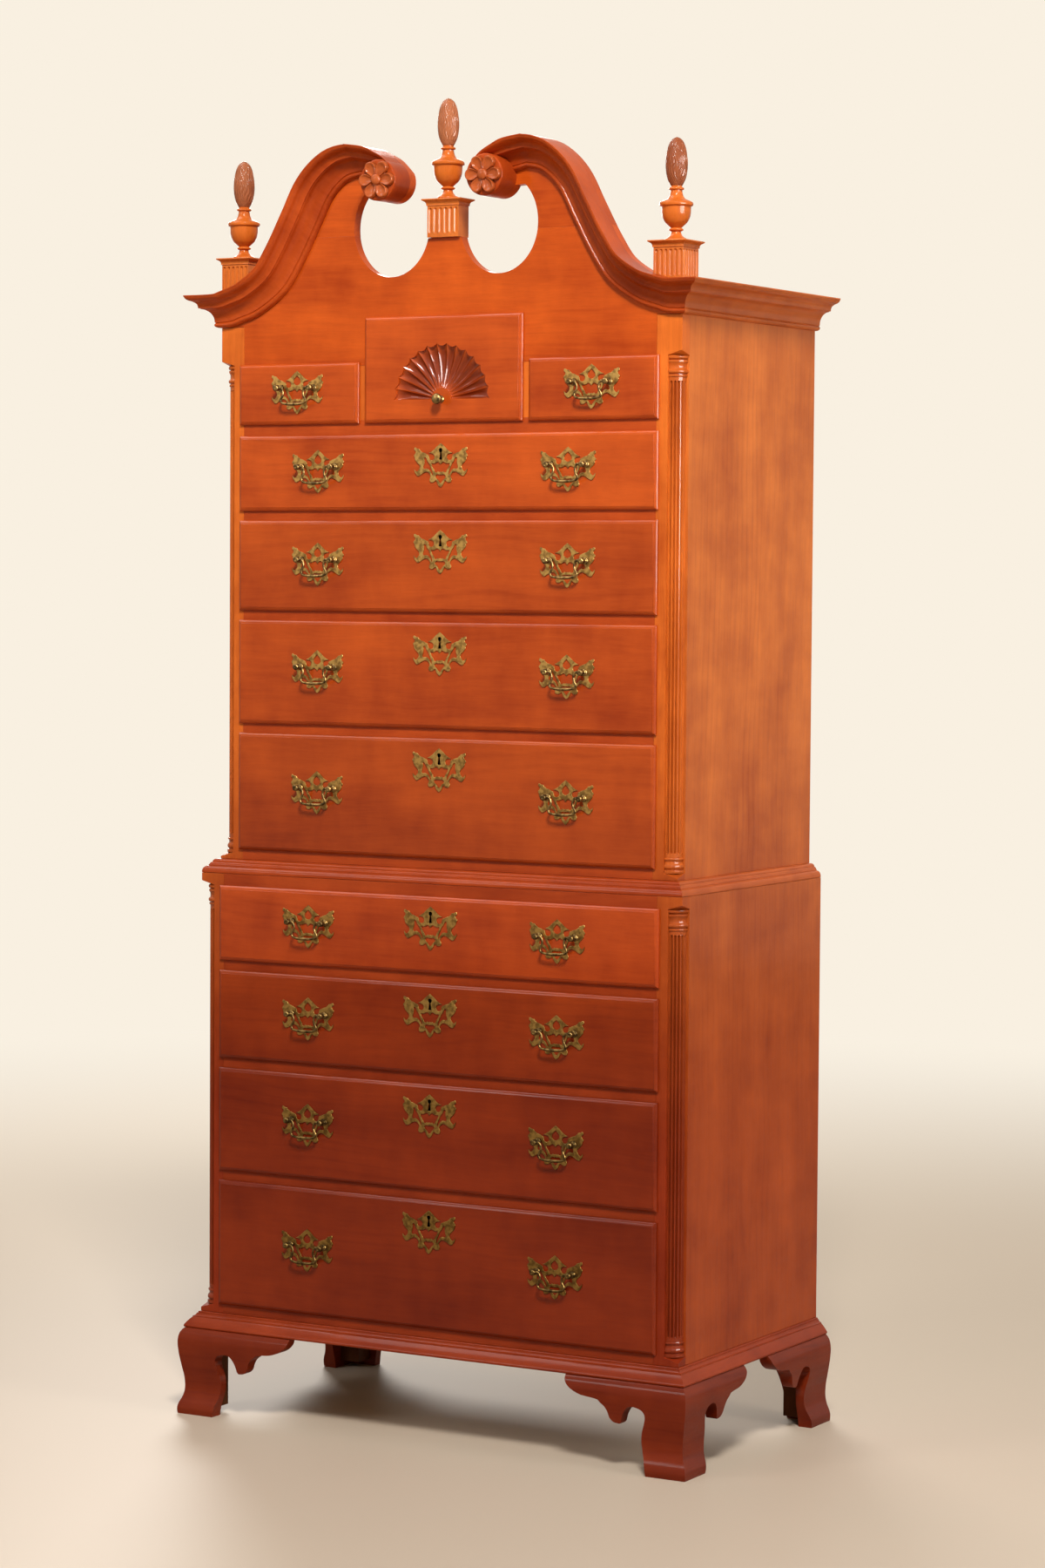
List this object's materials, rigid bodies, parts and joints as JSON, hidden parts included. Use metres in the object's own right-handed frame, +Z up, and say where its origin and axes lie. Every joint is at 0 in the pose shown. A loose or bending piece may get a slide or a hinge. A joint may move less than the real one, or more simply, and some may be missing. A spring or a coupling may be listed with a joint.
{
  "type": "highboy",
  "caption": "Tall chest-on-chest highboy with lipped sliding drawers, swinging bail pulls, scrolled broken pediment with turned finials, fluted quarter columns and ogee bracket feet.",
  "frame": {"origin": "on the floor, at the middle of the whole piece in width and depth", "axes": "+X to the viewer's right, -Y out of the drawer fronts, +Z up"},
  "size_m": [1.0372, 0.5692, 2.3406],
  "materials": {
    "cherry_case": "cherry with a satin varnish, vertical grain",
    "cherry_fronts": "cherry with a satin varnish, horizontal grain",
    "cherry_mouldings": "cherry with a satin varnish, grain along the moulding",
    "cherry_carving": "turned and carved cherry with a satin varnish",
    "secondary_wood": "unfinished poplar",
    "brass": "antique brass, softly polished"
  },
  "bodies": {
    "case": {"upper_side_left": "cherry_case", "upper_side_right": "cherry_case", "lower_side_left": "cherry_case", "lower_side_right": "cherry_case", "upper_frame": "cherry_mouldings", "lower_frame": "cherry_mouldings", "upper_bottom": "secondary_wood", "upper_back": "secondary_wood", "lower_back": "secondary_wood", "upper_top": "cherry_mouldings", "waist_moulding": "cherry_mouldings", "base_moulding": "cherry_mouldings", "scroll_board": "cherry_mouldings", "swan_neck_left": "cherry_mouldings", "swan_neck_right": "cherry_mouldings", "rosette_left": "cherry_carving", "rosette_right": "cherry_carving", "upper_column_left": "cherry_case", "upper_column_right": "cherry_case", "lower_column_left": "cherry_case", "lower_column_right": "cherry_case", "front_foot_left": "cherry_mouldings", "front_foot_right": "cherry_mouldings", "back_foot_left": "cherry_mouldings", "back_foot_right": "cherry_mouldings", "centre_plinth": "cherry_case", "corner_plinth_left": "cherry_case", "corner_plinth_right": "cherry_case", "centre_finial": "cherry_carving", "left_finial": "cherry_carving", "right_finial": "cherry_carving"},
    "drawer_lower_4": {"drawer_lower_4": "cherry_fronts"},
    "bail_lower_4_left": {"bail_lower_4_left": "brass"},
    "bail_lower_4_right": {"bail_lower_4_right": "brass"},
    "drawer_lower_3": {"drawer_lower_3": "cherry_fronts"},
    "bail_lower_3_left": {"bail_lower_3_left": "brass"},
    "bail_lower_3_right": {"bail_lower_3_right": "brass"},
    "drawer_lower_2": {"drawer_lower_2": "cherry_fronts"},
    "bail_lower_2_left": {"bail_lower_2_left": "brass"},
    "bail_lower_2_right": {"bail_lower_2_right": "brass"},
    "drawer_lower_1": {"drawer_lower_1": "cherry_fronts"},
    "bail_lower_1_left": {"bail_lower_1_left": "brass"},
    "bail_lower_1_right": {"bail_lower_1_right": "brass"},
    "drawer_upper_4": {"drawer_upper_4": "cherry_fronts"},
    "bail_upper_4_left": {"bail_upper_4_left": "brass"},
    "bail_upper_4_right": {"bail_upper_4_right": "brass"},
    "drawer_upper_3": {"drawer_upper_3": "cherry_fronts"},
    "bail_upper_3_left": {"bail_upper_3_left": "brass"},
    "bail_upper_3_right": {"bail_upper_3_right": "brass"},
    "drawer_upper_2": {"drawer_upper_2": "cherry_fronts"},
    "bail_upper_2_left": {"bail_upper_2_left": "brass"},
    "bail_upper_2_right": {"bail_upper_2_right": "brass"},
    "drawer_upper_1": {"drawer_upper_1": "cherry_fronts"},
    "bail_upper_1_left": {"bail_upper_1_left": "brass"},
    "bail_upper_1_right": {"bail_upper_1_right": "brass"},
    "drawer_small_left": {"drawer_small_left": "cherry_fronts"},
    "bail_small_left": {"bail_small_left": "brass"},
    "drawer_small_right": {"drawer_small_right": "cherry_fronts"},
    "bail_small_right": {"bail_small_right": "brass"},
    "drawer_fan": {"drawer_fan": "cherry_fronts"}
  },
  "joints": [
    {"name": "drawer_lower_4_slide", "type": "slide", "parent": "case", "child": "drawer_lower_4", "axis": [0, -1, 0], "range_m": [0, 0.35]},
    {"name": "bail_lower_4_left_swing", "type": "hinge", "parent": "drawer_lower_4", "child": "bail_lower_4_left", "pos_m": [-0.253, -0.27385, 0.3257], "axis": [-1, 0, 0], "range_deg": [-20, 90]},
    {"name": "bail_lower_4_right_swing", "type": "hinge", "parent": "drawer_lower_4", "child": "bail_lower_4_right", "pos_m": [0.253, -0.27385, 0.3257], "axis": [-1, 0, 0], "range_deg": [-20, 90]},
    {"name": "drawer_lower_3_slide", "type": "slide", "parent": "case", "child": "drawer_lower_3", "axis": [0, -1, 0], "range_m": [0, 0.35]},
    {"name": "bail_lower_3_left_swing", "type": "hinge", "parent": "drawer_lower_3", "child": "bail_lower_3_left", "pos_m": [-0.253, -0.27385, 0.54945], "axis": [-1, 0, 0], "range_deg": [-20, 90]},
    {"name": "bail_lower_3_right_swing", "type": "hinge", "parent": "drawer_lower_3", "child": "bail_lower_3_right", "pos_m": [0.253, -0.27385, 0.54945], "axis": [-1, 0, 0], "range_deg": [-20, 90]},
    {"name": "drawer_lower_2_slide", "type": "slide", "parent": "case", "child": "drawer_lower_2", "axis": [0, -1, 0], "range_m": [0, 0.35]},
    {"name": "bail_lower_2_left_swing", "type": "hinge", "parent": "drawer_lower_2", "child": "bail_lower_2_left", "pos_m": [-0.253, -0.27385, 0.7392], "axis": [-1, 0, 0], "range_deg": [-20, 90]},
    {"name": "bail_lower_2_right_swing", "type": "hinge", "parent": "drawer_lower_2", "child": "bail_lower_2_right", "pos_m": [0.253, -0.27385, 0.7392], "axis": [-1, 0, 0], "range_deg": [-20, 90]},
    {"name": "drawer_lower_1_slide", "type": "slide", "parent": "case", "child": "drawer_lower_1", "axis": [0, -1, 0], "range_m": [0, 0.35]},
    {"name": "bail_lower_1_left_swing", "type": "hinge", "parent": "drawer_lower_1", "child": "bail_lower_1_left", "pos_m": [-0.253, -0.27385, 0.9032], "axis": [-1, 0, 0], "range_deg": [-20, 90]},
    {"name": "bail_lower_1_right_swing", "type": "hinge", "parent": "drawer_lower_1", "child": "bail_lower_1_right", "pos_m": [0.253, -0.27385, 0.9032], "axis": [-1, 0, 0], "range_deg": [-20, 90]},
    {"name": "drawer_upper_4_slide", "type": "slide", "parent": "case", "child": "drawer_upper_4", "axis": [0, -1, 0], "range_m": [0, 0.35]},
    {"name": "bail_upper_4_left_swing", "type": "hinge", "parent": "drawer_upper_4", "child": "bail_upper_4_left", "pos_m": [-0.253, -0.24785, 1.1395], "axis": [-1, 0, 0], "range_deg": [-20, 90]},
    {"name": "bail_upper_4_right_swing", "type": "hinge", "parent": "drawer_upper_4", "child": "bail_upper_4_right", "pos_m": [0.253, -0.24785, 1.1395], "axis": [-1, 0, 0], "range_deg": [-20, 90]},
    {"name": "drawer_upper_3_slide", "type": "slide", "parent": "case", "child": "drawer_upper_3", "axis": [0, -1, 0], "range_m": [0, 0.35]},
    {"name": "bail_upper_3_left_swing", "type": "hinge", "parent": "drawer_upper_3", "child": "bail_upper_3_left", "pos_m": [-0.253, -0.24785, 1.354], "axis": [-1, 0, 0], "range_deg": [-20, 90]},
    {"name": "bail_upper_3_right_swing", "type": "hinge", "parent": "drawer_upper_3", "child": "bail_upper_3_right", "pos_m": [0.253, -0.24785, 1.354], "axis": [-1, 0, 0], "range_deg": [-20, 90]},
    {"name": "drawer_upper_2_slide", "type": "slide", "parent": "case", "child": "drawer_upper_2", "axis": [0, -1, 0], "range_m": [0, 0.35]},
    {"name": "bail_upper_2_left_swing", "type": "hinge", "parent": "drawer_upper_2", "child": "bail_upper_2_left", "pos_m": [-0.253, -0.24785, 1.5435], "axis": [-1, 0, 0], "range_deg": [-20, 90]},
    {"name": "bail_upper_2_right_swing", "type": "hinge", "parent": "drawer_upper_2", "child": "bail_upper_2_right", "pos_m": [0.253, -0.24785, 1.5435], "axis": [-1, 0, 0], "range_deg": [-20, 90]},
    {"name": "drawer_upper_1_slide", "type": "slide", "parent": "case", "child": "drawer_upper_1", "axis": [0, -1, 0], "range_m": [0, 0.35]},
    {"name": "bail_upper_1_left_swing", "type": "hinge", "parent": "drawer_upper_1", "child": "bail_upper_1_left", "pos_m": [-0.253, -0.24785, 1.707], "axis": [-1, 0, 0], "range_deg": [-20, 90]},
    {"name": "bail_upper_1_right_swing", "type": "hinge", "parent": "drawer_upper_1", "child": "bail_upper_1_right", "pos_m": [0.253, -0.24785, 1.707], "axis": [-1, 0, 0], "range_deg": [-20, 90]},
    {"name": "drawer_small_left_slide", "type": "slide", "parent": "case", "child": "drawer_small_left", "axis": [0, -1, 0], "range_m": [0, 0.35]},
    {"name": "bail_small_left_swing", "type": "hinge", "parent": "drawer_small_left", "child": "bail_small_left", "pos_m": [-0.29748, -0.24785, 1.8465], "axis": [-1, 0, 0], "range_deg": [-20, 90]},
    {"name": "drawer_small_right_slide", "type": "slide", "parent": "case", "child": "drawer_small_right", "axis": [0, -1, 0], "range_m": [0, 0.35]},
    {"name": "bail_small_right_swing", "type": "hinge", "parent": "drawer_small_right", "child": "bail_small_right", "pos_m": [0.29748, -0.24785, 1.8465], "axis": [-1, 0, 0], "range_deg": [-20, 90]},
    {"name": "drawer_fan_slide", "type": "slide", "parent": "case", "child": "drawer_fan", "axis": [0, -1, 0], "range_m": [0, 0.35]}
  ]
}
